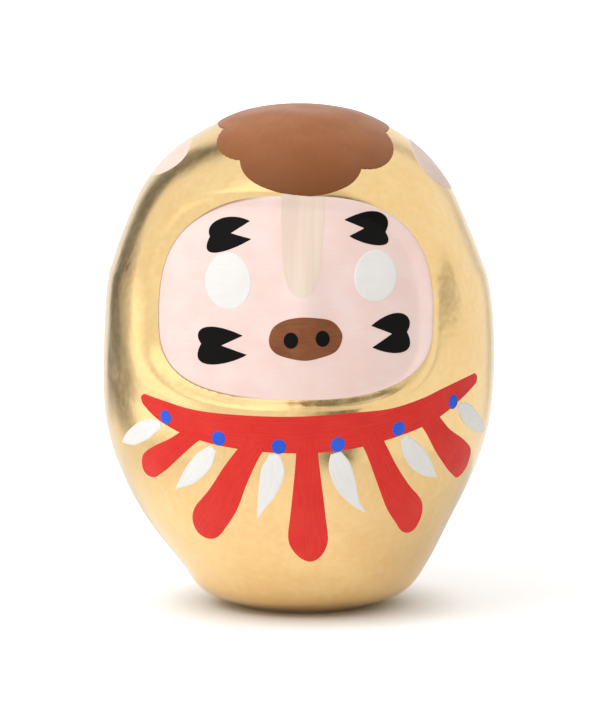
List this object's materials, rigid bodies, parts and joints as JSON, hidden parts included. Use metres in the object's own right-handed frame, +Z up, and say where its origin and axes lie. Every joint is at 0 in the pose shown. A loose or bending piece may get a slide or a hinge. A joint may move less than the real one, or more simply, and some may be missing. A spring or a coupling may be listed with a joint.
{
  "type": "daruma doll",
  "caption": "Hollow gilded papier-mache doll on a weighted base that rights itself, painted with a piglet's face and a tasselled collar.",
  "frame": {"origin": "on the surface that the doll stands on, under the middle of the body", "axes": "+Z up, the front faces -Y, +X to the right of a person looking at the face"},
  "size_m": [0.117, 0.1122, 0.1504],
  "materials": {
    "gilded_paper": "satin",
    "plain_paper": "matte",
    "clay": "matte",
    "pink_paint": "matte",
    "cream_paint": "matte",
    "brown_paint": "matte",
    "black_paint": "matte",
    "white_paint": "matte",
    "red_paint": "satin",
    "blue_paint": "satin"
  },
  "bodies": {
    "root": {"front_shell": "gilded_paper", "back_shell": "gilded_paper", "seam_strips": "plain_paper", "base_disc": "plain_paper", "base_weight": "clay", "face_coat": "pink_paint", "brow_stripe": "cream_paint", "snout": "brown_paint", "nostril_left": "black_paint", "nostril_right": "black_paint", "eye_left": "white_paint", "eye_right": "white_paint", "brow_mark_left": "black_paint", "brow_mark_right": "black_paint", "cheek_mark_left": "black_paint", "cheek_mark_right": "black_paint", "hair_patch": "brown_paint", "ear_left": "pink_paint", "ear_right": "pink_paint", "collar_band": "red_paint", "tassel_1": "red_paint", "tassel_2": "red_paint", "tassel_3": "red_paint", "tassel_4": "red_paint", "tassel_5": "red_paint", "bead_1": "blue_paint", "bead_2": "blue_paint", "bead_3": "blue_paint", "bead_4": "blue_paint", "bead_5": "blue_paint", "bead_6": "blue_paint", "feather_1": "white_paint", "feather_2": "white_paint", "feather_3": "white_paint", "feather_4": "white_paint", "feather_5": "white_paint", "feather_6": "white_paint"}
  },
  "joints": []
}
